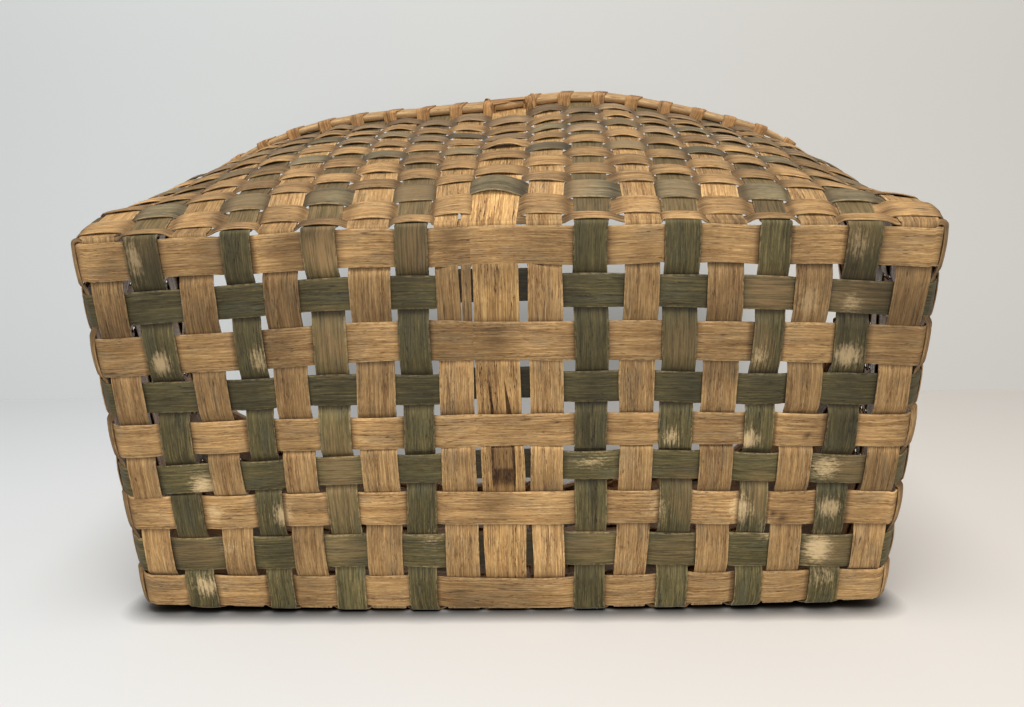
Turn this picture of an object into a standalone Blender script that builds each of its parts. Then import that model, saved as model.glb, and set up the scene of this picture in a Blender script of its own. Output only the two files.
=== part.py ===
"""Split oak gathering basket, built the way it is woven.

The basket stands on its base with its mouth up.  Nineteen cross stakes and nine long stakes weave
through each other as the base, turn up at its four edges and become the fifty-six uprights of the
wall.  Sixteen weavers, each one strip with lapped ends, go round the uprights by turns outside and
inside.  An inner and an outer hoop clamp the tops, and one long splint lashes them together.

Metres, +Z up.  The origin is the middle of the base, at the level the basket stands on.  The cross
stakes run along Y and the long stakes along X.
"""
import math

import bpy
import numpy as np

MM = 0.001

# The stakes and how they share the base
cross_count = 19
long_count = 9
cross_pitch = 19.7 * MM
long_pitch = 22.5 * MM
cross_width = 15.0 * MM
long_width = 17.5 * MM
centre_width = 20.5 * MM
centre_room = 2.3 * MM          # more than a pitch, each side of the wide centre stake
centre_drift = 3.0 * MM         # the hand-laid middle stakes sit this far towards -X
stake_thickness = 1.0 * MM
stake_taper_share = 0.9         # width at the rim over width at the base

# Clearance between splints that touch on the real basket
clearance = 0.3 * MM

# The wall
edge_room = 2.2 * MM            # from the outermost stake's edge to the wall that rises beside it
bend_radius = 2.0 * MM
wall_height = 200.0 * MM
wall_belly = 2.0 * MM
mouth_length = 450.0 * MM
mouth_width = 282.0 * MM
mouth_power_share = 2.55        # 2 is an ellipse, more is squarer

# The weavers
weaver_count = 16
weaver_width = 11.0 * MM
weaver_thickness = 0.7 * MM
first_weaver_width = 6.0 * MM
first_weaver_room = 0.5 * MM    # from the foot of the wall to the first weaver
weaver_room_at_rim = 5.0 * MM
lap_stakes = 2

# The rim
hoop_width = 10.0 * MM
hoop_thickness = 2.4 * MM
stake_end_below_rim = 1.0 * MM
lashing_width = 5.0 * MM
lashing_thickness = 0.6 * MM
lashing_lean_share = 0.2        # of a stake gap, from the foot of a wrap to its top

# Colours of the splints
natural_oak = (0.45, 0.27, 0.12, 1.0)
brown_oak = (0.27, 0.15, 0.07, 1.0)
heart_oak = (0.60, 0.39, 0.17, 1.0)
green_stain = (0.065, 0.075, 0.05, 1.0)
grey_green = (0.15, 0.15, 0.09, 1.0)
grey_brown = (0.22, 0.17, 0.11, 1.0)
hoop_oak = (0.55, 0.38, 0.20, 1.0)
lashing_oak = (0.50, 0.28, 0.11, 1.0)
weaver_colours = (
    natural_oak, natural_oak, grey_green, natural_oak, natural_oak, natural_oak, natural_oak, grey_green,
    natural_oak, natural_oak, grey_brown, grey_green, natural_oak, natural_oak, grey_brown, grey_brown,
)

# Levels worked out from the sizes above
weave_step = stake_thickness + clearance
long_level = weave_step + stake_thickness / 2
wall_foot = long_level + bend_radius
lashing_under = wall_height - hoop_width - clearance - lashing_thickness / 2
first_weaver_height = wall_foot + first_weaver_room + first_weaver_width / 2
second_weaver_height = first_weaver_height + (first_weaver_width + weaver_width) / 2 + clearance
last_weaver_height = lashing_under - weaver_room_at_rim - weaver_width / 2
weaver_pitch = (last_weaver_height - second_weaver_height) / (weaver_count - 2)
centre_index = cross_count // 2
upright_count = 2 * (cross_count + long_count)
centre_uprights = (centre_index, 2 * cross_count + long_count - 1 - centre_index)
wall_steps = 4
most_twist = math.radians(12)
lap_places = (cross_count + long_count + 4, 2 * cross_count + long_count - lap_stakes - 6)


def unit(vector):
    return vector / np.linalg.norm(vector)


def heading(angle):
    """The level direction at this angle."""
    return np.array([math.cos(angle), math.sin(angle), 0.0])


def cross_place(index):
    """X of a cross stake's centre line on the base."""
    steps = index - centre_index
    if steps == 0:
        return -centre_drift
    out = abs(steps) * cross_pitch + centre_room
    drift = centre_drift * (1 - (steps / centre_index) ** 2)
    return math.copysign(out, steps) - drift


def long_place(index):
    """Y of a long stake's centre line on the base."""
    return (index - (long_count - 1) / 2) * long_pitch


def cross_stake_width(index):
    return centre_width if index == centre_index else cross_width


def is_green_cross(index):
    return index % 2 == 1 and index != centre_index


def is_green_long(index):
    return index % 2 == 1


def cross_lies_outside(cross, along):
    """Whether the cross stake passes on the outside of the long stake."""
    return is_green_cross(cross) != is_green_long(along)


half_length = cross_place(cross_count - 1) + cross_width / 2 + edge_room
half_width = long_place(long_count - 1) + long_width / 2 + edge_room


def mouth_outline():
    """Points, outward angles and distances along the squared oval of the mouth, from its -Y middle."""
    half = np.array([mouth_length / 2, mouth_width / 2])
    turn = np.linspace(-math.pi / 2, 1.5 * math.pi, 8 * 900 + 1)
    ray = np.stack([np.cos(turn), np.sin(turn)], axis=1)
    points = half * np.sign(ray) * np.abs(ray) ** (2 / mouth_power_share)
    slope = np.sign(points) * np.abs(points / half) ** (mouth_power_share - 1) / half
    angles = np.unwrap(np.arctan2(slope[:, 1], slope[:, 0]))
    steps = np.linalg.norm(np.diff(points, axis=0), axis=1)
    return points, angles, np.concatenate([[0.0], np.cumsum(steps)])


def uprights():
    """Each upright's foot, the way it faces there, its place at the mouth and its width, anticlockwise."""
    feet = []
    for index in range(cross_count):
        feet.append((cross_place(index), -half_width, -math.pi / 2, cross_stake_width(index)))
    for index in range(long_count):
        feet.append((half_length, long_place(index), 0.0, long_width))
    for index in reversed(range(cross_count)):
        feet.append((cross_place(index), half_width, math.pi / 2, cross_stake_width(index)))
    for index in reversed(range(long_count)):
        feet.append((-half_length, long_place(index), math.pi, long_width))
    points, angles, distances = mouth_outline()
    widths = stake_taper_share * np.array([foot[3] for foot in feet])
    space = (distances[-1] - widths.sum()) / upright_count
    places = np.cumsum(widths) - widths / 2 + space * np.arange(upright_count)
    found = []
    for index, (x, y, angle, width) in enumerate(feet):
        along = (places[index] - places[centre_index]) % distances[-1]
        rim = [np.interp(along, distances, points[:, axis]) for axis in (0, 1)]
        rim_angle = np.interp(along, distances, angles)
        rim_angle += 2 * math.pi * round((angle - rim_angle) / (2 * math.pi))
        found.append((np.array([x, y]), angle, np.array(rim), rim_angle, width))
    return found


all_uprights = uprights()


def wall_frame(index, height):
    """Centre, level direction along the wall, outward direction and width of an upright at a height."""
    foot, foot_angle, rim, rim_angle, width = all_uprights[index % upright_count]
    share = (height - wall_foot) / (wall_height - wall_foot)
    angle = foot_angle + (rim_angle - foot_angle) * share
    outward = heading(angle)
    level = foot + (rim - foot) * share + outward[:2] * wall_belly * 4 * share * (1 - share)
    centre = np.array([level[0], level[1], height])
    return centre, heading(angle + math.pi / 2), outward, width * (1 + (stake_taper_share - 1) * share)


def is_corner(index):
    """Whether the wall turns a corner between this upright and the next."""
    sides = (cross_count, long_count, cross_count, long_count)
    return (index % upright_count) in [sum(sides[: n + 1]) - 1 for n in range(4)]


def neighbours(index, height, past_corners):
    """From an upright to each neighbour: the distance along its own plane, and behind that plane."""
    centre, along, outward, _ = wall_frame(index, height)
    for other in (index - 1, index + 1):
        if past_corners or not is_corner(min(index, other)):
            away = wall_frame(other, height)[0] - centre
            yield abs(np.dot(away, along)), -np.dot(away, outward)


def stand_off(index, height, past_corners):
    """Extra distance outwards for a strip that runs straight from upright to upright round a bend."""
    width = wall_frame(index, height)[3]
    reach, behind = zip(*neighbours(index, height, past_corners))
    edge_share = width / 2 / min(reach)
    return max(0.0, *behind) * edge_share / (1 - edge_share)


def new_material(name, colour):
    material = bpy.data.materials.get(name) or bpy.data.materials.new(name)
    material.use_nodes = True
    shader = material.node_tree.nodes["Principled BSDF"]
    shader.inputs["Base Color"].default_value = colour
    shader.inputs["Roughness"].default_value = 0.75
    shader.inputs["Metallic"].default_value = 0.0
    return material


def splint(name, stations, thickness, colour, closed=False):
    """A flat strip through the stations, each a centre and a vector to its edge, given its thickness."""
    rails = [point for centre, edge in stations for point in (centre - edge, centre + edge)]
    count = len(stations)
    faces = [
        (2 * n, 2 * n + 1, (2 * n + 3) % (2 * count), (2 * n + 2) % (2 * count))
        for n in range(count if closed else count - 1)
    ]
    mesh = bpy.data.meshes.new(name)
    mesh.from_pydata([tuple(point) for point in rails], [], faces)
    mesh.materials.append(new_material(name, colour))
    strip = bpy.data.objects.new(name, mesh)
    collection.objects.link(strip)
    skin = strip.modifiers.new("thickness", "SOLIDIFY")
    skin.thickness = thickness
    skin.offset = 0.0
    skin.use_even_offset = True
    skin.use_quality_normals = True
    strip.parent = basket
    return strip


def turned_up(index, level):
    """The bend from the base to the foot of an upright, from the flat end inwards to the wall."""
    foot, along, outward, width = wall_frame(index, wall_foot)
    for turn in (0.0, math.pi / 4, math.pi / 2):
        inward = bend_radius * (1 - math.sin(turn))
        centre = foot - outward * inward
        centre[2] = level + (wall_foot - level) * (1 - math.cos(turn))
        yield centre, along * width / 2


def risen(index):
    """The upright's stations from above its bend to its end between the hoops."""
    foot_angle, rim_angle = all_uprights[index][1], all_uprights[index][3]
    steps = wall_steps + math.ceil(abs(rim_angle - foot_angle) / most_twist)
    for step in range(1, steps + 1):
        height = wall_foot + (wall_height - stake_end_below_rim - wall_foot) * step / steps
        centre, along, _, width = wall_frame(index, height)
        yield centre, along * width / 2


def cross_stake(index):
    """One stake from rim to rim: down the -Y wall, through the long stakes, and up the +Y wall."""
    front = index
    back = 2 * cross_count + long_count - 1 - index
    half_flat = long_width / 2 + clearance
    side = np.array([cross_stake_width(index) / 2, 0.0, 0.0])
    level = [
        long_level - weave_step if cross_lies_outside(index, along) else long_level + weave_step
        for along in range(long_count)
    ]
    stations = [*reversed([*turned_up(front, level[0]), *risen(front)])]
    for along in range(long_count):
        for end in (-half_flat, half_flat):
            if abs(long_place(along) + end) < half_width - bend_radius:
                stations.append((np.array([cross_place(index), long_place(along) + end, level[along]]), side))
    back_wall = [*turned_up(back, level[-1]), *risen(back)]
    stations += [(centre, -edge) for centre, edge in back_wall]
    name = "centre_stake" if index == centre_index else f"cross_stake_{index + 1:02d}"
    colour = green_stain if is_green_cross(index) else natural_oak
    if index == centre_index:
        colour = heart_oak
    splint(name, stations, stake_thickness, colour)


def long_stake(index):
    """One stake from rim to rim: down the -X wall, flat through the base, and up the +X wall."""
    left = upright_count - 1 - index
    right = cross_count + index
    stations = [*reversed([*turned_up(left, long_level), *risen(left)])]
    right_wall = [*turned_up(right, long_level), *risen(right)]
    stations += [(centre, -edge) for centre, edge in right_wall]
    colour = green_stain if is_green_long(index) else brown_oak if index == 0 else natural_oak
    splint(f"long_stake_{index + 1}", stations, stake_thickness, colour)


def passes_outside(weaver, upright):
    """Whether a weaver goes outside an upright: green ones first on the long walls, then by turns."""
    place = upright % upright_count
    if weaver == 0 and place == centre_index:
        return False
    return (place + weaver) % 2 == 1


def clear_of_stakes(thickness):
    """From the stakes' middle plane to that of a strip lying on them."""
    return (stake_thickness + thickness) / 2 + clearance


def fullest_share(height):
    """The largest share of its spacing that any upright fills at a height, the centre stake apart."""
    shares = []
    for index in range(upright_count):
        if index not in centre_uprights:
            reach = min(along for along, _ in neighbours(index, height, False))
            shares.append(wall_frame(index, height)[3] / reach)
    return max(shares)


def crest(upright, height, arch):
    """Half the length that a weaver lies level across an upright too wide to clear from one point."""
    width = wall_frame(upright, height)[3]
    reach = min(along for along, _ in neighbours(upright, height, False))
    slope_share = (1 - clear_of_stakes(weaver_thickness) / arch) / 2
    level = (width / 2 - slope_share * reach) / (1 - slope_share)
    return level if level > clearance else 0.0


def across_wall(low, high):
    """A station from its lower and its upper point."""
    return (low + high) / 2, (high - low) / 2


def off_wall(upright, height, aside, outwards):
    """The point beside and off an upright's middle line."""
    centre, along, outward, _ = wall_frame(upright, height)
    return centre + along * aside + outward * outwards


def round_corner(upright, height, lean):
    """Where the planes of the two uprights at a corner meet, shifted to the side the strip comes from."""
    first, along, outward, _ = wall_frame(upright, height)
    second, _, next_outward, _ = wall_frame(upright + 1, height)
    meet = first + along * np.dot(second - first, next_outward) / np.dot(along, next_outward)
    return meet + (outward - next_outward) * lean


def weaver(index):
    """A strip once round the wall and over its own start, arched out and in past the uprights."""
    height = second_weaver_height + (index - 1) * weaver_pitch if index else first_weaver_height
    half_width_up = (weaver_width if index else first_weaver_width) / 2
    levels = (height - half_width_up, height + half_width_up)
    flat_arch = clear_of_stakes(weaver_thickness)
    arch = flat_arch / (1 - fullest_share(levels[0]))
    lap_lift = weaver_thickness + 2 * clearance
    start = lap_places[index // 2 % len(lap_places)]
    start += passes_outside(index, start)
    stations = []
    for upright in range(start, start + upright_count + lap_stakes + 1):
        outside = passes_outside(index, upright)
        level = crest(upright, levels[0], arch)
        bend_room = max(stand_off(upright, each, False) for each in levels)
        outwards = arch + bend_room if outside else -arch
        under_lap = upright <= start + lap_stakes
        over_lap = upright >= start + upright_count
        if upright <= start + lap_stakes + 1 or upright >= start + upright_count - 1:
            level = wall_frame(upright, height)[3] / 2 + clearance
            lifted = over_lap if outside else under_lap
            outwards = (flat_arch + lap_lift * lifted) * (1 if outside else -1)
        for aside in (-level, level) if level else (0.0,):
            stations.append(across_wall(*(off_wall(upright, each, aside, outwards) for each in levels)))
        if is_corner(upright):
            lean = stake_thickness / 2 if outside else -stake_thickness / 2
            stations.append(across_wall(*(round_corner(upright, each, lean) for each in levels)))
    splint(f"weaver_{index + 1:02d}", stations, weaver_thickness, weaver_colours[index])


def hoop_stand(upright, outer):
    """From the stakes' middle plane to the middle of a hoop, outwards."""
    stand = clear_of_stakes(hoop_thickness)
    return stand + stand_off(upright, wall_height, True) if outer else -stand


def rim_hoop(name, outer):
    """A hoop clamping the tops of the uprights from one side."""
    stations = []
    for upright in range(upright_count):
        stand = hoop_stand(upright, outer)
        low, high = (off_wall(upright, each, 0.0, stand) for each in (wall_height - hoop_width, wall_height))
        stations.append(across_wall(low, high))
    splint(name, stations, hoop_thickness, hoop_oak, closed=True)


def beside_hoop(place, height, outer):
    """The lashing's middle on the far side of a hoop, at a place counted in uprights."""
    first = math.floor(place)
    off = (hoop_thickness + lashing_thickness) / 2 + clearance
    ends = [
        off_wall(upright, height, 0.0, hoop_stand(upright, outer) + (off if outer else -off))
        for upright in (first, first + 1)
    ]
    return ends[0] + (ends[1] - ends[0]) * (place - first), unit(ends[1] - ends[0])


def between(upright, height):
    """Where the middle of the space after an upright lies, as a share of the way to the next."""
    first, _, _, width = wall_frame(upright, height)
    second, _, _, next_width = wall_frame(upright + 1, height)
    return 0.5 + (width - next_width) / 4 / np.linalg.norm(second - first)


def rim_lashing():
    """One splint wound round both hoops, down through every space between two uprights."""
    over = wall_height + clearance + lashing_thickness / 2
    stations = []
    for wrap in range(upright_count):
        foot = wrap + between(wrap, lashing_under)
        top = foot + lashing_lean_share
        turns = ((foot, lashing_under, False), (foot, lashing_under, True), (top, over, True), (top, over, False))
        for place, height, outer in turns:
            point, along = beside_hoop(place, height, outer)
            stations.append((point, along * lashing_width / 2))
    splint("rim_lashing", stations, lashing_thickness, lashing_oak)
    points = np.array([centre + edge * side for centre, edge in stations for side in (-1, 0, 1)])
    owners = np.arange(len(points)) // (3 * 4)
    apart = np.linalg.norm(points[:, None] - points[None], axis=2)[owners[:, None] - owners[None] > 0]
    print(f"rim lashing: {upright_count} wraps, least gap {(apart.min() - lashing_thickness) / MM:.1f} mm")


for old in list(bpy.data.objects):
    bpy.data.objects.remove(old, do_unlink=True)
collection = bpy.data.collections.new("split_oak_gathering_basket")
bpy.context.scene.collection.children.link(collection)
basket = bpy.data.objects.new("basket_origin", None)
collection.objects.link(basket)

for number in range(cross_count):
    cross_stake(number)
for number in range(long_count):
    long_stake(number)
for number in range(weaver_count):
    weaver(number)
rim_hoop("outer_rim_hoop", True)
rim_hoop("inner_rim_hoop", False)
rim_lashing()
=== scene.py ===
"""The split oak gathering basket of the photograph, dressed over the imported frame.

Every splint is made again from the same sizes as its solid, with the arch, the hand-made wander,
the grain and the wear of the real one, and stands for its own node.  Metres, in the frame's own
axes: +Z out of the mouth, the cross stakes along Y and the long stakes along X.  In the photograph
the basket lies on its +Y wall with its base towards the camera.
"""
import math

import bpy
import numpy as np
from mathutils import Matrix, Vector


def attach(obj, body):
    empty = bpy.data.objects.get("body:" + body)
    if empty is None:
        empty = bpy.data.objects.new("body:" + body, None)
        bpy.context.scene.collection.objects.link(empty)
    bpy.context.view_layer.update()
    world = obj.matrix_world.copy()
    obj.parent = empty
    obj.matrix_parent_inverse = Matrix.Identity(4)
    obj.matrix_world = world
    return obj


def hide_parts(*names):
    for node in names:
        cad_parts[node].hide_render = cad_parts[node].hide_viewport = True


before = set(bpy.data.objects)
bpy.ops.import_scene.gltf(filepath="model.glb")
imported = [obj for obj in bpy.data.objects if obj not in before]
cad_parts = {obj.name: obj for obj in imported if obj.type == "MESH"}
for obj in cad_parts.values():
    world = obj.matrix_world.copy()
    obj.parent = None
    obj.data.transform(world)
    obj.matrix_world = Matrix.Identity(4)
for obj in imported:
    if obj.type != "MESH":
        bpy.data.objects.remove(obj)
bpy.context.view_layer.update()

MM = 0.001

# Sizes shared with the solids
cross_count = 19
long_count = 9
cross_pitch = 19.7 * MM
long_pitch = 22.5 * MM
cross_width = 15.0 * MM
long_width = 17.5 * MM
centre_width = 20.5 * MM
centre_room = 2.3 * MM
centre_drift = 3.0 * MM
stake_thickness = 1.0 * MM
stake_taper_share = 0.9
clearance = 0.3 * MM
edge_room = 2.2 * MM
bend_radius = 2.0 * MM
wall_height = 200.0 * MM
wall_belly = 2.0 * MM
mouth_length = 450.0 * MM
mouth_width = 282.0 * MM
mouth_power_share = 2.55
weaver_count = 16
weaver_width = 11.0 * MM
weaver_thickness = 0.7 * MM
first_weaver_width = 6.0 * MM
first_weaver_room = 0.5 * MM    # from the foot of the wall to the first weaver
weaver_room_at_rim = 5.0 * MM
lap_stakes = 2
hoop_width = 10.0 * MM
hoop_thickness = 2.4 * MM
stake_end_below_rim = 1.0 * MM
lashing_width = 5.0 * MM
lashing_thickness = 0.6 * MM
lashing_lean_share = 0.14

weave_step = stake_thickness + clearance
long_level = weave_step + stake_thickness / 2
wall_foot = long_level + bend_radius
lashing_under = wall_height - hoop_width - clearance - lashing_thickness / 2
first_weaver_height = wall_foot + first_weaver_room + first_weaver_width / 2
second_weaver_height = first_weaver_height + (first_weaver_width + weaver_width) / 2 + clearance
last_weaver_height = lashing_under - weaver_room_at_rim - weaver_width / 2
weaver_pitch = (last_weaver_height - second_weaver_height) / (weaver_count - 2)
centre_index = cross_count // 2
upright_count = 2 * (cross_count + long_count)
lap_places = (cross_count + long_count + 4, 2 * cross_count + long_count - lap_stakes - 6)

# What only the dressed splints have
outline_steps = 7200            # round the mouth
station_step = 2.4 * MM
base_step_share = 0.6           # of that step, on the base
bend_steps = 7
stake_sway = 0.35 * MM          # how far a stake strays from its own straight line
stake_unevenness = 0.012        # how much its width varies, as a share
crossing_room = 0.4 * MM        # how far past a crossing splint's edge it is level
least_slit = 0.05 * MM          # how wide a closed split is
slit_lip = 1.2 * MM             # the strip beside a split that has columns of its own
edge_shares = (-1.0, -0.93, -0.62, -0.31, 0.0, 0.31, 0.62, 0.93, 1.0)
hoop_shares = (-1.0, -0.86, -0.5, 0.0, 0.5, 0.86, 1.0)
edge_thickness_share = 0.45     # of the thickness, at the worn edges
stake_arch_share = 0.16         # how far a stake bows off the one it crosses, of the step
row_step_share = 0.3            # the part of the step between crossing stakes that a long stake takes
weaver_bow_share = 0.045        # how far a weaver bows off a stake, of the stake's width
weaver_bows = (0.5, 1.5)        # the least and the most of that bow over any one stake
weaver_bow_low = 0.7            # how much of it a weaver has at the base
weaver_bow_rise = 0.8           # and how much more at the rim
weaver_swell = 1.16             # how much wider a weaver lies than its solid
weaver_crown = 0.25 * MM        # how far its middle stands above its edges
weaver_sway = 0.15 * MM         # how far it strays up and down
weaver_tilt = 0.12 * MM         # how far its edges stray in and out
weaver_unevenness = 0.02        # how much its width varies, as a share
upright_swell = 0.12            # how much wider an upright lies up the wall than its solid
upright_swell_reach = 60 * MM
hoop_easing = 5                 # how many steps each way the hoops' curve is eased over
hoop_swell = 1.6                # how much thicker the outer hoop is than its solid
hoop_stand = 0.7 * MM           # how much farther from the uprights it lies
inner_hoop_stand = 0.1 * MM
wrap_swell = 1.6                # how much wider the lashing lies over the hoops
wrap_thickness_swell = 1.7      # and how much thicker
crossing_stand = 0.8 * MM       # how far the upper of two crossed wraps stands off the lower
wrap_crown = 0.35 * MM
wrap_clearance = 0.1 * MM       # more than the wraps' own room, over the outer hoop
wrap_corner = 1.3 * MM
wrap_leans = (0.7, 1.5)         # the least and the most of its lean that a wrap has
wrap_rounding = 1.0 * MM        # how far a wrap draws in where it goes over the hoop's top edge
crossing_rounding = 2.2 * MM    # and where two cross
wide_stake_bow = 2.0            # times more over the wide centre stake

# The weavers' slots in the record, from the base to the rim
weaver_slots = ["natural_oak"] * weaver_count
weaver_slots[2] = weaver_slots[7] = weaver_slots[11] = "grey_green_oak"
weaver_slots[10] = weaver_slots[14] = weaver_slots[15] = "grey_brown_oak"


def unit(vectors):
    """The same vectors at length one."""
    return vectors / np.linalg.norm(vectors, axis=-1, keepdims=True)


def heading(angles):
    """The level directions at these angles."""
    return np.stack([np.cos(angles), np.sin(angles), np.zeros_like(angles)], axis=-1)


def past(values, start, reach):
    """How far values are past a start, as a share of a reach, from 0 to 1."""
    return np.clip((values - start) / reach, 0, 1)


def distances_along(points):
    """How far along a path each of its points is."""
    return np.concatenate([[0.0], np.cumsum(np.linalg.norm(np.diff(points, axis=0), axis=1))])


def cross_place(index):
    """X of a cross stake's centre line on the base."""
    steps = index - centre_index
    if steps == 0:
        return -centre_drift
    out = abs(steps) * cross_pitch + centre_room
    drift = centre_drift * (1 - (steps / centre_index) ** 2)
    return math.copysign(out, steps) - drift


def long_place(index):
    """Y of a long stake's centre line on the base."""
    return (index - (long_count - 1) / 2) * long_pitch


def cross_stake_width(index):
    return centre_width if index == centre_index else cross_width


def is_green_cross(index):
    return index % 2 == 1 and index != centre_index


def is_green_long(index):
    return index % 2 == 1


def cross_lies_outside(cross, along):
    """Whether the cross stake passes on the outside of the long stake."""
    return is_green_cross(cross) != is_green_long(along)


half_length = cross_place(cross_count - 1) + cross_width / 2 + edge_room
half_width = long_place(long_count - 1) + long_width / 2 + edge_room


def mouth_outline():
    """Points, outward angles and distances along the squared oval of the mouth, from its -Y middle."""
    half = np.array([mouth_length / 2, mouth_width / 2])
    turn = np.linspace(-math.pi / 2, 1.5 * math.pi, outline_steps + 1)
    ray = np.stack([np.cos(turn), np.sin(turn)], axis=1)
    points = half * np.sign(ray) * np.abs(ray) ** (2 / mouth_power_share)
    slope = np.sign(points) * np.abs(points / half) ** (mouth_power_share - 1) / half
    angles = np.unwrap(np.arctan2(slope[:, 1], slope[:, 0]))
    return points, angles, distances_along(points)


def uprights():
    """Each upright's foot, facing angle there, place at the mouth, facing there and width."""
    across = [(cross_place(index), cross_stake_width(index)) for index in range(cross_count)]
    along = [long_place(index) for index in range(long_count)]
    feet = [(x, -half_width, -math.pi / 2, width) for x, width in across]
    feet += [(half_length, y, 0.0, long_width) for y in along]
    feet += [(x, half_width, math.pi / 2, width) for x, width in reversed(across)]
    feet += [(-half_length, y, math.pi, long_width) for y in reversed(along)]
    feet = np.array(feet)
    points, angles, distances = mouth_outline()
    widths = stake_taper_share * feet[:, 3]
    space = (distances[-1] - widths.sum()) / upright_count
    places = np.cumsum(widths) - widths / 2 + space * np.arange(upright_count)
    around = (places - places[centre_index]) % distances[-1]
    rim = np.stack([np.interp(around, distances, points[:, axis]) for axis in (0, 1)], axis=1)
    rim_angles = np.interp(around, distances, angles)
    rim_angles += 2 * math.pi * np.round((feet[:, 2] - rim_angles) / (2 * math.pi))
    return feet[:, :2], feet[:, 2], rim, rim_angles, feet[:, 3]


feet, foot_angles, rims, rim_angles, foot_widths = uprights()


def wall(index, height):
    """Centres, directions along the wall, outward directions and widths of uprights at heights."""
    index = np.asarray(index) % upright_count
    height = np.asarray(height, dtype=float)
    share = (height - wall_foot) / (wall_height - wall_foot)
    angle = foot_angles[index] + (rim_angles[index] - foot_angles[index]) * share
    outward = heading(angle)
    bulge = wall_belly * 4 * share * (1 - share)
    level = feet[index] + (rims[index] - feet[index]) * share[..., None]
    level = level + outward[..., :2] * bulge[..., None]
    centre = np.concatenate([level, height[..., None] + np.zeros_like(level[..., :1])], axis=-1)
    width = foot_widths[index] * (1 + (stake_taper_share - 1) * share)
    return centre, heading(angle + math.pi / 2), outward, width


def wander(seed, along, reach, size):
    """A smooth line that strays by about a size, with waves about a reach long."""
    draw = np.random.default_rng(seed)
    lengths = reach * draw.uniform(0.6, 1.9, 5)
    phases = draw.uniform(0, 2 * math.pi, 5)
    return size * 0.6 * np.sin(2 * math.pi * np.asarray(along)[..., None] / lengths + phases).sum(axis=-1)


# How far the hand-laid stakes of the base stray from their even places, in millimetres, and how wide
# they are there, as shares of their full width.  Each was measured in the photograph.
near_strays = (-1.2, -1.4, 0.6, 2.0, 0.4, 0.2, 2.5, 2.0, 0.8, -2.8, -2.2, -1.2, 1.8, -0.6, -0.7, 0.0, -1.5,
               -1.9, 0.9)
far_strays = (0.6, 0.3, 2.9, 2.9, 0.4, 0.3, 0.0, -0.2, -0.1, -0.1, -0.6, 0.8, 1.9, 2.3, 1.6, 0.9, -1.5,
              -1.0, -0.9)
near_place = -75 * MM
far_place = 60 * MM
cross_shares = (0.93, 0.99, 1.03, 0.88, 1.08, 1.02, 1.2, 0.98, 1.12, 1.02, 1.05, 1.03, 1.07, 1.07, 1.09,
                0.92, 1.08, 0.98, 1.02)
# At the -X end, the middle and the +X end of each row
row_strays = (
    (2.6, -1.8, 0.4), (2.5, -3.3, 1.6), (3.7, -1.5, 2.2), (3.0, -0.2, 2.3), (3.0, -0.4, 0.9),
    (2.2, -3.6, -0.8), (-1.9, -2.8, -1.3), (0.1, -1.3, 0.6), (-0.9, 1.8, -1.2),
)
row_end_place = 160 * MM
# How far each row lies towards the near wall where the three middle stakes hide it, in millimetres
hidden_rises = (0, 3.0, 0, 2.6, 0, 1.0, 0, 0, 0)
hidden_edges = (-34, -24, 12, 24)
row_shares = (1.0, 0.9, 1.1, 0.9, 0.97, 0.88, 1.05, 1.08, 1.03)
base_reach = 60 * MM            # how far up the wall the base's own unevenness is felt
corner_splay = 0.8 * MM
corner_from = 140 * MM          # along X
corner_reach = 50 * MM
corner_near_from = 20 * MM      # and towards -Y
corner_near_reach = 70 * MM

# How far the walls swell outwards by height, in millimetres: the long wall at -Y and the end walls
near_wall_heights = (0, 4, 12, 24, 33, 47, 60, 75, 95, 130, 160, 178, 188, 200)
near_wall_swells = (0, -1.8, -1.8, 1.2, 3.4, 3.0, 3.0, 3.2, 2.4, 0.6, -2.0, -3.6, -4.0, -4.4)
near_wall_reach = 80 * MM       # from the basket's middle to where the near wall's form is full
# Places along X and up that wall that stand out or lie in: millimetres, their reach along each, how far
near_wall_dents = (
    (-5, 145, 36, 45, -6.0), (-8, 25, 22, 13, 3.0), (185, 20, 30, 14, 2.5), (190, 80, 45, 42, -6.5),
    (-175, 80, 45, 42, -4.0),
)
end_wall_heights = (0, 3, 8, 16, 30, 50)
end_wall_swells = (0, 0.8, 4.2, 4.8, 2.8, 0)
end_wall_from = 160 * MM
end_wall_reach = 30 * MM

# How far the rim of the -Y wall is pulled inwards, in millimetres, at places along it
rim_pull_places = (-170, -115, -58, -8, 30, 62, 93, 131, 165, 185)
rim_pulls = (4, 5.5, 7, 5, 2.5, 1.5, 2, 1, -2.5, -2)
# The waves of the rim's height and of the walls, round the basket: size in millimetres, count and start
height_waves = ((0.9, 3, 1.0), (0.5, 7, 0.0))
wall_waves = ((1.2, 4, 0.4), (0.8, 9, 2.0))


# The two edges of each splint, between which its stray stays the same
column_steady_share = 0.52      # of its width, to each side
row_steady_half = 9.4 * MM
column_edges = [cross_place(index) + side * column_steady_share * cross_stake_width(index)
                for index in range(cross_count) for side in (-1, 1)]
row_edges = [long_place(index) + side * row_steady_half for index in range(long_count) for side in (-1, 1)]


def splint_strays(places, edges, strays):
    """A stray in metres at places: the same all over each splint, and eased from one to the next."""
    return np.interp(places, edges, np.repeat(strays, 2)) * MM


def between_knots(places, knots, values):
    """Values in metres at places, from knots and values in millimetres."""
    return np.interp(places, np.array(knots) * MM, np.array(values) * MM)


def waves(turn, parts):
    """What waves round the basket add up to, in metres."""
    return sum(size * np.sin(count * turn + start) for size, count, start in parts) * MM


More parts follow.
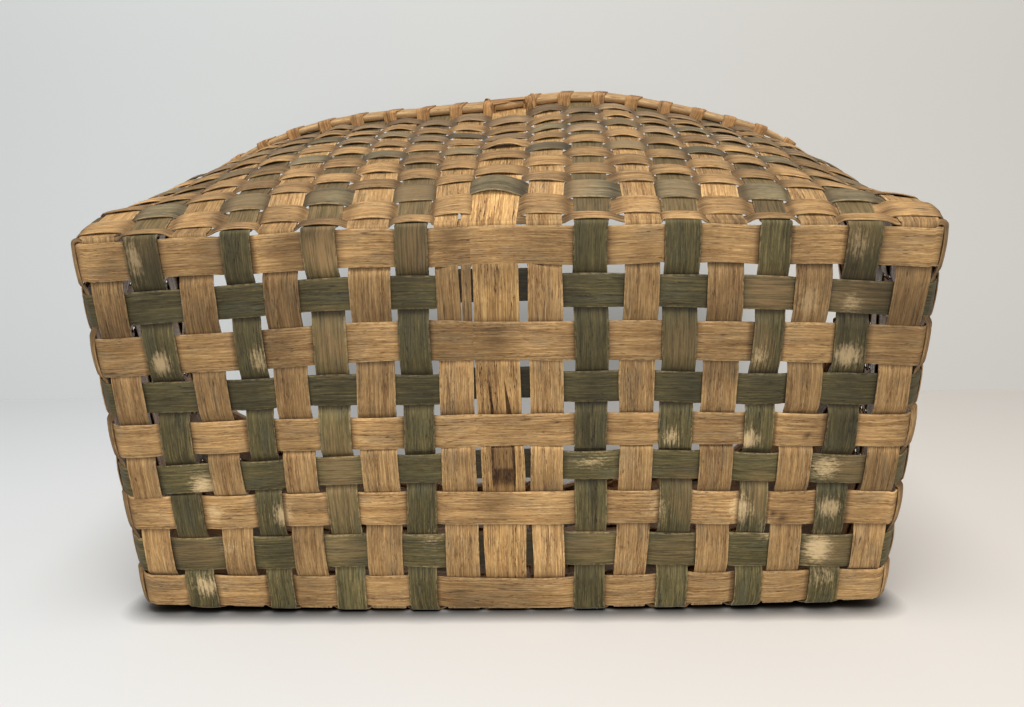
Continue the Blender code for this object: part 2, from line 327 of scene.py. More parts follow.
def by_hand(points):
    """The whole basket's own unevenness, the same for every splint, so that none leaves its neighbour."""
    x, y, z = points[..., 0], points[..., 1], points[..., 2]
    moved = points.copy()
    low = np.exp(-(z / base_reach) ** 2)
    near = splint_strays(x, column_edges, near_strays)
    far = splint_strays(x, column_edges, far_strays)
    away = np.clip((y - near_place) / (far_place - near_place), -0.2, 1.2)
    moved[..., 0] += (near * (1 - away) + far * away) * low
    left, middle, right = (splint_strays(y, row_edges, strays) for strays in zip(*row_strays))
    run = np.clip(x / row_end_place, -1.15, 1.15)
    moved[..., 1] += (middle + (right - left) / 2 * run + ((left + right) / 2 - middle) * run ** 2) * low
    hidden = np.interp(x, np.array(hidden_edges) * MM, (0, 1, 1, 0))
    moved[..., 1] -= splint_strays(y, row_edges, hidden_rises) * hidden * low
    ends = past(np.abs(x), corner_from, corner_reach)
    near_end = past(-y, corner_near_from, corner_near_reach)
    moved[..., 0] += corner_splay * np.sign(x) * ends * near_end * low
    near_wall = past(-y, 0, near_wall_reach)
    moved[..., 1] -= near_wall * between_knots(z, near_wall_heights, near_wall_swells)
    for place, height, reach, reach_up, depth in near_wall_dents:
        away = ((x / MM - place) / reach) ** 2 + ((z / MM - height) / reach_up) ** 2
        moved[..., 1] -= near_wall * depth * MM * np.exp(-away)
    ends = past(np.abs(x), end_wall_from, end_wall_reach)
    moved[..., 0] += between_knots(z, end_wall_heights, end_wall_swells) * np.sign(x) * ends
    up = past(z, 0, wall_height)
    moved[..., 1] += up * between_knots(x, rim_pull_places, rim_pulls) * near_wall
    turn = np.arctan2(y / mouth_width, x / mouth_length)
    moved[..., 2] += up ** 2 * waves(turn, height_waves)
    flat = np.stack([np.cos(turn), np.sin(turn)], axis=-1)
    moved[..., :2] += flat * (up * waves(turn, wall_waves))[..., None]
    return moved


def smoothed(values, reach, closed=False):
    """The same row of values with its corners rounded over a number of steps each way."""
    steps = np.arange(-3 * reach, 3 * reach + 1)
    weights = np.exp(-((steps / reach) ** 2))
    weights /= weights.sum()
    pad = [(len(steps) // 2, len(steps) // 2)] + [(0, 0)] * (values.ndim - 1)
    wide = np.pad(values, pad, mode="wrap" if closed else "edge")
    return sum(weight * wide[n:n + len(values)] for n, weight in enumerate(weights))


def grid_normals(grid, closed):
    """Outward unit normals of a grid of points, along its first axis and across its second."""
    if closed:
        along = np.roll(grid, -1, axis=0) - np.roll(grid, 1, axis=0)
    else:
        along = np.gradient(grid, axis=0)
    return unit(np.cross(along, np.gradient(grid, axis=1)))


def shell_faces(rows, columns, kept, closed):
    """Faces of a grid of cells with a thickness: both sides, and a wall wherever a cell ends."""
    cell_rows = rows if closed else rows - 1
    if kept is None:
        kept = np.ones((cell_rows, columns - 1), dtype=bool)
    inside = rows * columns
    number = np.arange(inside).reshape(rows, columns)
    ahead = np.roll(number, -1, axis=0)[:cell_rows]
    here = number[:cell_rows]
    a, b, c, d = here[:, :-1], ahead[:, :-1], ahead[:, 1:], here[:, 1:]
    around = np.pad(kept, 1)
    if closed:
        around[0, 1:-1] = kept[-1]
        around[-1, 1:-1] = kept[0]
    left, right = around[1:-1, :-2], around[1:-1, 2:]
    back, front = around[:-2, 1:-1], around[2:, 1:-1]
    groups = [
        (kept, (a, b, c, d)),
        (kept, (d + inside, c + inside, b + inside, a + inside)),
        (kept & ~left, (a, a + inside, b + inside, b)),
        (kept & ~right, (c, c + inside, d + inside, d)),
        (kept & ~back, (d, d + inside, a + inside, a)),
        (kept & ~front, (b, b + inside, c + inside, c)),
    ]
    return np.concatenate([np.stack([part[mask] for part in parts], axis=1) for mask, parts in groups])


# How much paler or darker than its kind each splint is, from -1 to 1
long_tones = (-0.1, 0.0, -0.2, -0.2, 0.2, 0.7, 0.4, 0.7, 0.1)
cross_tones = (-0.4, 0.1, -0.5, 0.3, -0.4, 1.1, -0.3, 0.3, 0.0, 0.1, 0.3, 0.0, -0.2, 0.5, -0.5, 0.5, -0.4,
               -0.1, -0.3)
stake_tone_wander = 0.25        # how much a stake's tone strays along it
near_edge_tone = -0.45          # how much darker the base is at its near edge
far_edge_tone = 0.35            # and how much paler at its far edge
weaver_tones = (
    -0.3, -0.1, 0.1, -0.3, -0.2, 0.0, -0.4, 0.1, 0.0, -0.3, 0.0, 0.0, -0.4, -0.1, -0.1, -0.2,
)
weaver_tone_wander = 0.34       # how much a weaver's tone strays along it
wall_tone = 0.0                 # a cross stake's tone from half way up the near wall
side_foot_tone = 0.1            # and just above the foot of that wall
centre_foot_tone = 0.4
green_fade = 0.4                # how far the green stain has gone brown on the walls
fade_from = 3.0 * MM            # the height from which it has
fade_reach = 10.0 * MM
weaver_fade = 0.2               # and, about, on the stained weavers
inner_shade = 0.85               # painted shade where a stake passes on the inside of another
weaver_shade = 0.55              # painted shade where a weaver goes in or out between two stakes
weaver_shade_from = 0.62
lashing_top_darkening = 0.75             # darker over the hoops' top edge
base_top = 3.5 * MM             # the height up to which a stake counts as base


def splint(name, slot, centres, halves, thickness, marks=None, columns=edge_shares, closed=False, kept=None,
           edge_share=edge_thickness_share, crown=0.0, sink=0.0):
    """One splint as its own piece: a strip through its centres, each with a vector to its edge.

    It stands for the node of its name.  Marks say how the wood looks at each station, or at each share of
    the width there as well, columns where those shares are, and kept which of the cells are wood.
    """
    title = name + "_splint"
    seed = sum((n + 1) * ord(letter) for n, letter in enumerate(title))
    shares = np.asarray(columns)
    if shares.ndim == 1:
        shares = np.tile(shares, (len(centres), 1))
    grid = centres[:, None] + halves[:, None] * shares[..., None]
    grid = by_hand(grid)
    normals = grid_normals(grid, closed)
    grid = grid + normals * (crown * (1 - shares ** 2) - sink)[..., None]
    depth = thickness / 2 * np.where(np.abs(shares) > 0.99, edge_share, 1.0)
    points = np.concatenate([(grid + normals * depth[..., None]).reshape(-1, 3),
                             (grid - normals * depth[..., None]).reshape(-1, 3)])
    faces = shell_faces(len(centres), shares.shape[1], kept, closed)
    used, faces = np.unique(faces, return_inverse=True)
    mesh = bpy.data.meshes.new(title)
    mesh.from_pydata(points[used].tolist(), [], faces.reshape(-1, 4).tolist())
    across = shares * np.linalg.norm(halves, axis=1)[:, None]
    measures = dict.fromkeys(("tone", "soil_and_shade", "wear", "fade"), np.zeros_like(across))
    measures.update({
        "along": distances_along(centres),
        "across": across,
        "edge": np.abs(shares),
        "seed": np.full_like(across, seed % 997),
    })
    measures.update(marks or {})
    layers = {"inside": np.repeat((0.0, 1.0), across.size)}
    for measure, values in measures.items():
        over_width = np.broadcast_to(values.reshape(len(centres), -1), across.shape)
        layers[measure] = np.tile(over_width.ravel(), 2)
    for measure, values in layers.items():
        layer = mesh.attributes.new(measure, "FLOAT", "POINT")
        layer.data.foreach_set("value", values[used].astype(np.float32))
    mesh.shade_smooth()
    mesh.set_sharp_from_angle(angle=math.radians(50))
    mesh.materials.append(oak_of[slot])
    piece = bpy.data.objects.new(title, mesh)
    bpy.context.scene.collection.objects.link(piece)
    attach(piece, "root")
    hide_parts(name)


def srgb(red, green, blue):
    """A colour as read from the photograph, from 0 to 255, as the shader wants it."""
    shares = [channel / 255 for channel in (red, green, blue)]
    return tuple(c / 12.92 if c <= 0.04045 else ((c + 0.055) / 1.055) ** 2.4 for c in shares) + (1.0,)


class Shading:
    """The nodes of one material, each made by a word for what it does."""

    def __init__(self, name):
        self.material = bpy.data.materials.new(name)
        self.material.use_nodes = True
        self.tree = self.material.node_tree

    def node(self, kind, inputs=None, **settings):
        """A node with its settings, its sockets joined and its values set."""
        made = self.tree.nodes.new(kind)
        for name, value in settings.items():
            setattr(made, name, value)
        for place, value in (inputs or {}).items():
            if isinstance(value, bpy.types.NodeSocket):
                self.tree.links.new(value, made.inputs[place])
            else:
                made.inputs[place].default_value = value
        return made

    def math(self, kind, first, second, clamp=False):
        """The result of one operation on two values."""
        return self.node("ShaderNodeMath", {0: first, 1: second}, operation=kind, use_clamp=clamp).outputs[0]

    def plus(self, first, second, clamp=False):
        return self.math("ADD", first, second, clamp)

    def minus(self, first, second):
        return self.math("SUBTRACT", first, second)

    def times(self, first, second, clamp=False):
        return self.math("MULTIPLY", first, second, clamp)

    def most(self, first, second, clamp=False):
        return self.math("MAXIMUM", first, second, clamp)

    def absolute(self, value):
        return self.math("ABSOLUTE", value, 0.0)

    def ranged(self, value, low, high, to_low=0.0, to_high=1.0):
        """A value taken smoothly from one range to another."""
        inputs = {"Value": value, 1: low, 2: high, 3: to_low, 4: to_high}
        return self.node("ShaderNodeMapRange", inputs, interpolation_type="SMOOTHSTEP").outputs[0]

    def blend(self, share, first, second, kind="MIX"):
        """Two colours blended by a share."""
        inputs = {0: share, 6: first, 7: second}
        return self.node("ShaderNodeMix", inputs, data_type="RGBA", blend_type=kind).outputs[2]

    def darkened(self, colour, by):
        """A colour multiplied by another, given from 0 to 255."""
        return self.blend(1.0, colour, srgb(*by), "MULTIPLY")

    def lightened(self, colour, by):
        """A colour at a changed brightness."""
        return self.node("ShaderNodeHueSaturation", {"Value": by, "Color": colour}).outputs[0]

    def measure(self, name):
        """What the mesh says under a name."""
        return self.node("ShaderNodeAttribute", attribute_name=name).outputs["Fac"]


tone_share = 0.5                # how much a splint's tone changes its brightness
crack_stain = (112, 88, 66)     # what cracks, dirt and painted shade, and the inner face's painted shade multiply the wood's colour by
dirt_and_shade_colour = (92, 76, 62)
inner_face_shade = (186, 166, 144)
faded_stain = (130, 103, 68)


def oak(name, colours, line_share, roughness, worn_share):
    """Riven and weathered oak: bands, fibres, checks and pores along the splint, grey patches, wear."""
    pale, middle, dark, grey, bare = (srgb(*colour) for colour in colours)
    wood = Shading(name)
    along, across, seed = (wood.measure(title) for title in ("along", "across", "seed"))
    edge, soil_and_shade, wear, inside = (wood.measure(title) for title in ("edge", "soil_and_shade", "wear", "inside"))
    seed = wood.plus(wood.times(seed, 3.7), wood.times(inside, 41.0))

    def field(number, wave, spread, detail, rough):
        """One layer of noise, so many millimetres long along the grain and wide across it."""
        place = wood.node("ShaderNodeCombineXYZ", {
            0: wood.times(along, 1 / (wave * MM)),
            1: wood.times(across, 1 / (spread * MM)),
            2: wood.plus(seed, number),
        }).outputs[0]
        inputs = {"Vector": place, "Scale": 1.0, "Detail": detail, "Roughness": rough}
        return wood.node("ShaderNodeTexNoise", inputs).outputs["Fac"]

    bands = field(0.0, 85, 3.4, 3.0, 0.55)
    streaks = field(11.0, 18, 0.75, 4.0, 0.66)
    fibres = field(23.0, 6, 0.5, 2.0, 0.75)
    clouds = field(37.0, 22, 8.0, 4.0, 0.62)
    specks = field(53.0, 2.6, 1.1, 4.0, 0.7)
    checks = field(67.0, 60, 1.5, 1.0, 0.5)
    pores = field(79.0, 3.4, 0.34, 1.0, 0.5)

    colour = wood.blend(wood.ranged(bands, 0.30, 0.70, 0.15, 1.0), dark, middle)
    colour = wood.blend(wood.ranged(streaks, 0.40, 0.70, 0.0, 0.8), colour, pale)
    colour = wood.blend(wood.ranged(clouds, 0.46, 0.74, 0.0, 0.6), colour, grey)
    fine = wood.ranged(fibres, 0.25, 0.75, -0.22, 0.22)
    colour = wood.lightened(colour, wood.plus(fine, wood.ranged(specks, 0.28, 0.72, 0.89, 1.11)))
    crack = wood.ranged(wood.absolute(wood.minus(checks, 0.5)), 0.004, 0.016, 1.0, 0.0)
    crack = wood.times(crack, wood.ranged(clouds, 0.40, 0.60))
    dash = wood.times(wood.ranged(pores, 0.62, 0.70), wood.ranged(bands, 0.62, 0.42))
    lines = wood.times(wood.most(crack, dash), line_share)
    colour = wood.blend(lines, colour, wood.darkened(colour, crack_stain))

    faded = wood.times(wood.measure("fade"), wood.ranged(streaks, 0.36, 0.64, 0.45, 1.5))
    colour = wood.blend(faded, colour, srgb(*faded_stain))
    torn = wood.plus(wood.ranged(specks, 0.30, 0.70, -0.22, 0.22), wood.ranged(streaks, 0.3, 0.7, -0.2, 0.2))
    spot = wood.ranged(wood.plus(wear, torn), 0.22, 1.05, 0.0, 0.85)
    rubbed = wood.times(wood.ranged(edge, 0.86, 1.0), worn_share)
    rubbed = wood.times(rubbed, wood.ranged(specks, 0.40, 0.62))
    colour = wood.blend(wood.most(spot, rubbed, True), colour, bare)

    # The inner face keeps little of the soil and painted shade
    soil_and_shade = wood.times(soil_and_shade, wood.minus(1.0, wood.times(inside, 0.8)))
    # Soil and painted shade: dirt spots, painted shade where splints pass inside others, in grooves and
    # where weavers bend between stakes, and the darker lashing tops
    dirt_and_shade = wood.times(soil_and_shade, wood.ranged(specks, 0.25, 0.75, 0.75, 1.05), True)
    colour = wood.blend(dirt_and_shade, colour, wood.darkened(colour, dirt_and_shade_colour))
    # Painted shade over the inner face of every splint, for the basket's shaded inside
    colour = wood.blend(wood.times(inside, 0.6), colour, wood.darkened(colour, inner_face_shade))
    tone = wood.times(wood.measure("tone"), tone_share)
    colour = wood.lightened(colour, wood.plus(1.0, tone))

    dryness = wood.plus(wood.times(streaks, 0.22), roughness - 0.11, True)
    relief = wood.plus(wood.times(streaks, 0.8), fibres)
    relief = wood.minus(relief, wood.times(lines, 1.2))
    bump = wood.node("ShaderNodeBump", {"Strength": 0.6, "Distance": 0.16 * MM, "Height": relief}).outputs[0]
    shader = wood.tree.nodes["Principled BSDF"]
    shader.inputs["Specular IOR Level"].default_value = 0.28
    for title, socket in {"Base Color": colour, "Roughness": dryness, "Normal": bump}.items():
        wood.tree.links.new(socket, shader.inputs[title])
    return wood.material


# Each wood's pale, middle, dark, grey and bare colour, then the strength of its dark lines, its roughness
# and the share of its edges that is worn bare
woods = {
    "natural_oak": (
        ((202, 163, 110), (166, 128, 80), (126, 91, 54), (146, 122, 88), (214, 180, 130)), 0.75, 0.74, 0.5),
    "heart_oak": (
        ((212, 172, 112), (176, 134, 82), (120, 82, 46), (150, 118, 78), (222, 190, 138)), 1.0, 0.72, 0.4),
    "green_stained_oak": (
        ((108, 96, 60), (79, 70, 41), (50, 43, 24), (78, 77, 57), (196, 168, 124)), 0.75, 0.68, 0.3),
    "grey_green_oak": (
        ((142, 124, 90), (114, 101, 72), (80, 69, 49), (110, 103, 82), (184, 156, 114)), 0.6, 0.7, 0.45),
    "grey_brown_oak": (
        ((172, 142, 104), (140, 113, 80), (98, 76, 52), (128, 112, 88), (204, 168, 120)), 0.6, 0.7, 0.45),
    "hoop_oak": (
        ((212, 174, 122), (182, 142, 92), (132, 98, 60), (160, 134, 98), (222, 190, 144)), 0.7, 0.68, 0.4),
    "lashing_oak": (
        ((204, 158, 102), (170, 124, 74), (116, 80, 46), (130, 104, 78), (212, 172, 118)), 0.7, 0.68, 0.3),
}
oak_of = {name: oak(name, *look) for name, look in woods.items()}


def over_base(half, place, seed, stray_reach, step_share, crossed):
    """A stake's stations between its bends, its places across, its heights and where it passes inside.

    Crossed holds the place, the half width and the side of each stake that crosses it.
    """
    reach = half - bend_radius
    stations = np.linspace(-reach, reach, round(2 * reach / (station_step * base_step_share)) + 1)[1:-1]
    knots, values = [], []
    for middle, edge, side in crossed:
        for offset in (-edge - crossing_room, 0.0, edge + crossing_room):
            knots.append(middle + offset)
            values.append(side * (1 + (stake_arch_share if offset == 0.0 else 0.0)))
    line = smoothed(np.interp(stations, knots, values), 1)
    across = place + wander(seed, stations, stray_reach, stake_sway)
    return stations, across, long_level + line * weave_step * step_share, np.clip(line, 0, 1) ** 2


def upright(index, level):
    """One end of a stake, from the base round its bend and up between the hoops: centres and halves."""
    foot, along, outward, width = wall(index, wall_foot)
    turn = np.linspace(0, math.pi / 2, bend_steps)[:, None]
    bend = foot - outward * bend_radius * (1 - np.sin(turn))
    bend[:, 2] = level + (wall_foot - level) * (1 - np.cos(turn[:, 0]))
    bend_halves = np.tile(along * width / 2, (bend_steps, 1))
    steps = round((wall_height - wall_foot) / station_step)
    heights = np.linspace(wall_foot, wall_height - stake_end_below_rim, steps + 1)[1:]
    centre, along, _, width = wall(index, heights)
    sway = wander(index, heights, 70 * MM, stake_sway) * (1 - heights / wall_height)
    centres = np.concatenate([bend, centre + along * sway[:, None]])
    return centres, np.concatenate([bend_halves, along * width[:, None] / 2])


def along_base(centres):
    """Where each station of a cross stake is along Y, carried on up the walls by height."""
    carried = np.clip(centres[:, 2] - wall_foot, 0, None) + half_width
    return np.where(centres[:, 2] > wall_foot, np.copysign(carried, centres[:, 1]), centres[:, 1])


def split_columns(stations, half, slits, is_open):
    """A split stake's columns at each station, five for each split, the cells that stay and the grooves."""
    count = 4 + 5 * len(slits)
    columns = np.empty((len(stations), count))
    columns[:, :2] = edge_shares[:2]
    columns[:, -2:] = edge_shares[-2:]
    kept = np.ones((len(stations) - 1, count - 1), dtype=bool)
    groove = np.zeros((len(stations), count))
    for number, slit in enumerate(slits):
        places, shares, widths = (np.array(values) for values in zip(*slit))
        middle = np.interp(stations, places * MM, shares)
        width = np.maximum(np.interp(stations, places * MM, widths) * MM, least_slit)
        gapes = width > 5 * least_slit
        first = 2 + 5 * number
        for step, reach in enumerate((-1.0, -0.8, 0.8, 1.0)):
            columns[:, first + step] = middle + reach * width / 2 / half
        columns[:, first + 4] = middle + (width / 2 + slit_lip) / half
        groove[:, first + 1:first + 3] = gapes[:, None]
        if is_open:
            kept[:, first:first + 3] = ~(gapes[1:] & gapes[:-1])[:, None]
    return columns, kept, groove


def stake(name, slot, first, last, base, base_half, inner, width_share, tone, slits=None):
    """A stake from rim to rim: down one wall, over its places on the base and up the other wall."""
    fall, fall_halves = upright(first, base[0, 2])
    rise, rise_halves = upright(last, base[-1, 2])
    centres = np.concatenate([fall[::-1], base, rise])
    halves = np.concatenate([fall_halves[::-1], np.tile(base_half, (len(base), 1)), -rise_halves])
    inner = np.pad(inner, (len(fall), len(rise)))
    seed = sum(ord(letter) for letter in name)
    low = np.exp(-(centres[:, 2] / base_reach) ** 2)
    high = upright_swell * past(centres[:, 2], 0, upright_swell_reach)
    uneven = wander(seed, distances_along(centres), 45 * MM, stake_unevenness)
    halves = halves * (1 + (width_share - 1) * low + high + uneven)[:, None]
    shares, kept, sink = np.tile(edge_shares, (len(centres), 1)), None, 0.0
    stations = along_base(centres)
    is_open = name != "centre_stake"
    if slits:
        shares, kept, groove = split_columns(stations, np.linalg.norm(halves, axis=1), slits, is_open)
    marks = marks_of_stake(centres, halves, shares, slot, inner)
    if not is_open:
        # Painted shade in the grooves and in the sunk strip between them
        soil_and_shade, sink = sunk_strip(stations, groove)
        marks["soil_and_shade"] = np.maximum(marks["soil_and_shade"], soil_and_shade)
    marks["tone"] = tones_along(name, centres, tone)
    splint(name, slot, centres, halves, stake_thickness, marks, shares, kept=kept, sink=sink)


# The splits of two cross stakes: place along Y, where it is across the stake as a share of its half
# width, and how wide it gapes.  Places and widths are in millimetres.
centre_slits = (
    ((-30, -0.40, 0.0), (-18, -0.38, 0.6), (-10, -0.30, 1.3), (9, -0.45, 1.3), (30, -0.48, 1.2),
     (36, -0.48, 0.0)),
    ((-26, 0.28, 0.0), (-18, 0.33, 0.9), (-9, 0.42, 2.6), (9, 0.50, 1.6), (30, 0.50, 1.5), (36, 0.50, 0.0)),
)
side_slits = (
    ((-128, 0.20, 0.0), (-118, 0.28, 0.7), (-106, 0.33, 1.2), (-84, 0.33, 1.5), (-65, 0.34, 1.1),
     (-57, 0.34, 0.5), (-48, 0.34, 0.0)),
)
sunk_from = 8.0                 # the strip between the two splits is pushed in between these places
sunk_to = 32.0
sunk_ease_in = 8.0
sunk_ease_out = 4.0
sunk_depth = 0.7 * MM
sunk_shade = 0.55                # how dark the painted shade lies in it, up to its torn end
torn_length = 8.0


def sunk_strip(stations, groove):
    """The painted shade and the depth of the grooves and of the torn strip between them."""
    places = stations[:, None] / MM
    number = np.arange(groove.shape[1])
    among = (number >= 4) & (number <= groove.shape[1] - 6)
    begun = np.clip((places - sunk_from + sunk_ease_in) / sunk_ease_in, 0, 1)
    deep = begun * np.clip((sunk_to + sunk_ease_out - places) / sunk_ease_out, 0, 1) * among
    darker = deep * np.where(places > sunk_to - torn_length, 1.0, sunk_shade)
    return np.maximum(darker, groove), sunk_depth * np.maximum(deep, groove)


# Worn spots by place on the base: millimetres along X and Y, their reach along each, and their strength
worn_spots = (
    (-161, -41, 4, 6, 1.1), (-118, -40, 5, 7, 0.75), (-152, 27, 6, 8, 0.9), (-150, 46, 4, 6, 0.85),
    (-115, 47, 6, 7, 1.1), (-146, 64, 6, 6, 0.6), (76, 4, 5, 6, 0.7), (115, -38, 5, 6, 0.7),
    (114, 5, 5, 6, 1.0), (112, 45, 6, 8, 1.0), (157, -64, 5, 6, 0.7), (158, -40, 7, 6, 1.1),
    (154, 22, 8, 8, 0.8), (158, 44, 6, 6, 1.0), (155, 66, 7, 9, 1.1), (-165, -91, 4, 11, 0.8),
    (-158, 87, 7, 7, 0.9), (157, -90, 6, 9, 0.55), (158, 84, 8, 7, 0.55), (-40, 60, 8, 6, 0.45),
    (40, 20, 12, 5, 0.5), (138, -65, 6, 9, 0.8), (128, 56, 5, 7, 0.75), (70, 44, 6, 10, 0.6),
)
# Where the green stain of the base has gone brown, in the same form
faded_places = (
    (-82, -92, 9, 14, 0.8), (-82, -45, 9, 14, 0.55), (-84, 25, 9, 34, 0.4), (-43, -90, 9, 14, 0.55),
    (118, -68, 14, 9, 0.65), (158, -68, 14, 9, 0.5), (169, 22, 12, 9, 0.4), (-160, 66, 14, 9, 0.45),
    (39, 66, 14, 9, 0.35), (-87, 66, 14, 9, 0.3), (80, 68, 14, 9, 0.25), (160, 68, 14, 9, 0.4),
    (80, -44, 9, 12, 0.4), (85, 38, 9, 14, 0.35), (113, -43, 9, 12, 0.4), (121, 38, 9, 12, 0.4),
    (156, -94, 9, 10, 0.35), (-160, -93, 9, 10, 0.25),
)
# Knots, burns and grubby places: millimetres along X and Y, their reach and their strength
dark_spots = (
    (-4.9, 68.6, 1.6, 0.9), (-131.9, 78.3, 2.0, 1.2), (143.8, 3.4, 1.5, 1.0), (-27, -95, 6, 0.5),
    (59, -86, 6, 0.4), (-3, -46, 7, 0.45), (-8, 42, 8, 0.4), (-100, -90, 9, 0.3), (-152, -88, 7, 0.35),
    (-178, -88, 8, 0.35), (165, 0, 9, 0.3), (52, 56, 1.2, 0.8), (54, 66, 1.2, 0.8), (136, 50, 2.4, 1.0),
    (131, 48, 2.4, 0.9), (-138, -60, 10, 0.4), (-98, -64, 10, 0.4), (178, -62, 12, 0.45),
    (-178, -60, 12, 0.4), (-24, 20, 4, 0.5), (15, 95, 9, 0.3), (-30, 94, 14, 0.45),
)


def spotted(grid, spots, power=2):
    """How strongly the spots mark each point of the base."""
    marked = np.zeros(grid.shape[:2])
    for x, y, *reach, strength in spots:
        away = np.hypot((grid[..., 0] / MM - x) / reach[0], (grid[..., 1] / MM - y) / reach[-1])
        marked = np.maximum(marked, strength * np.exp(-away ** power))
    return marked * (grid[..., 2] < base_top)


def marks_of_stake(centres, halves, shares, slot, inner):
    """Wear, soil and painted shade, and faded stain of a stake, at each station and share of its width."""
    grid = centres[:, None] + halves[:, None] * shares[..., None]
    fade = np.zeros(grid.shape[:2])
    if slot.startswith("green"):
        up_wall = past(grid[..., 2], fade_from, fade_reach)
        fade = np.maximum(green_fade * up_wall, spotted(grid, faded_places, 4))
    # Painted shade where the stake passes inside another, with the knots, burns and grubby places
    soil_and_shade = np.maximum(inner_shade * inner[:, None], spotted(grid, dark_spots))
    return {"wear": spotted(grid, worn_spots), "soil_and_shade": soil_and_shade, "fade": fade}


def tones_along(name, centres, tone):
    """A stake's tone at each station: its own, straying along it, and a cross stake's on the near wall."""
    seed = sum(ord(letter) for letter in name) + 1300
    stray = wander(seed, distances_along(centres), 60 * MM, stake_tone_wander)
    if name.startswith("long"):
        return tone + stray
    foot_tone = centre_foot_tone if name == "centre_stake" else side_foot_tone
    tones = (wall_tone, foot_tone, tone + near_edge_tone, tone + far_edge_tone)
    return np.interp(along_base(centres) / half_width, (-1.8, -1.1, -0.85, 0.5), tones) + stray


def cross_stake(index):
    """A stake that runs along Y through the base."""
    crossed = [
        (long_place(along), long_width / 2, -1 if cross_lies_outside(index, along) else 1)
        for along in range(long_count)
    ]
    share = 1 - row_step_share
    y, x, z, inner = over_base(half_width, cross_place(index), index + 40, 90 * MM, share, crossed)
    name, slot = f"cross_stake_{index + 1:02d}", "natural_oak"
    if is_green_cross(index):
        slot = "green_stained_oak"
    if index == centre_index:
        name, slot = "centre_stake", "heart_oak"
    slits = {centre_index: centre_slits, centre_index - 1: side_slits}.get(index)
    stake(name, slot, index, 2 * cross_count + long_count - 1 - index, np.stack([x, y, z], axis=1),
          (cross_stake_width(index) / 2, 0.0, 0.0), inner, cross_shares[index], cross_tones[index], slits)


def long_stake(index):
    """A stake that runs along X through the base."""
    crossed = [
        (cross_place(cross), cross_stake_width(cross) / 2, 1 if cross_lies_outside(cross, index) else -1)
        for cross in range(cross_count)
    ]
    x, y, z, inner = over_base(half_length, long_place(index), index + 80, 120 * MM, row_step_share, crossed)
    slot = "green_stained_oak" if is_green_long(index) else "natural_oak"
    stake(f"long_stake_{index + 1}", slot, upright_count - 1 - index, cross_count + index,
          np.stack([x, y, z], axis=1), (0.0, -long_width / 2, 0.0), inner, row_shares[index],
          long_tones[index])


def passes_outside(weaver_index, upright):
    """Whether a weaver goes outside an upright: green ones first on the long walls, then by turns."""
    place = upright % upright_count
    if weaver_index == 0 and place == centre_index:
        return False
    return (place + weaver_index) % 2 == 1


def clear_of_stakes(thickness):
    """From the stakes' middle plane to that of a strip lying on them."""
    return (stake_thickness + thickness) / 2 + clearance / 2


stake_samples = 7
space_samples = 5
space_pull = 0.37               # how far the curve over a space keeps its way, as a share of the space


def round_wall(places, heights):
    """Points, outward directions, cells and shares of a strip that follows the wall's own surface.

    A cell reaches from the middle of the space before an upright, at share -1, to the middle of the
    space after it, at share 1.
    """
    centre, along, outward, width = wall(places, heights)
    half = width / 2
    before = centre - along * half[:, None]
    after = centre + along * half[:, None]
    gaps = np.linalg.norm(before[1:] - after[:-1], axis=1)
    gaps = np.append(gaps, gaps[-1])
    points, outwards, cells, shares = [], [], [], []
    for number in range(len(places)):
        room_before = gaps[max(number - 1, 0)] / 2
        room_after = gaps[number] / 2
        for turn in np.linspace(-1, 1, stake_samples):
            points.append(centre[number] + along[number] * half[number] * turn)
            outwards.append(outward[number])
            cells.append(number)
            room = room_before if turn < 0 else room_after
            shares.append(turn * half[number] / (half[number] + room))
        if number == len(places) - 1:
            break
        pull = space_pull * gaps[number]
        corners = (
            after[number], after[number] + along[number] * pull,
            before[number + 1] - along[number + 1] * pull, before[number + 1],
        )
        for step in range(1, space_samples + 1):
            t = step / (space_samples + 1)
            weights = ((1 - t) ** 3, 3 * t * (1 - t) ** 2, 3 * t ** 2 * (1 - t), t ** 3)
            points.append(sum(weight * corner for weight, corner in zip(weights, corners)))
            outwards.append(unit(outward[number] * (1 - t) + outward[number + 1] * t))
            mine = t <= 0.5
            cell = number if mine else number + 1
            cells.append(cell)
            share = (half[cell] + min(t, 1 - t) * gaps[number]) / (half[cell] + gaps[number] / 2)
            shares.append(share if mine else -share)
    rooms = np.minimum(gaps, np.roll(gaps, 1)) / 2
    return np.array(points), np.array(outwards), np.array(cells), np.array(shares), half / (half + rooms)


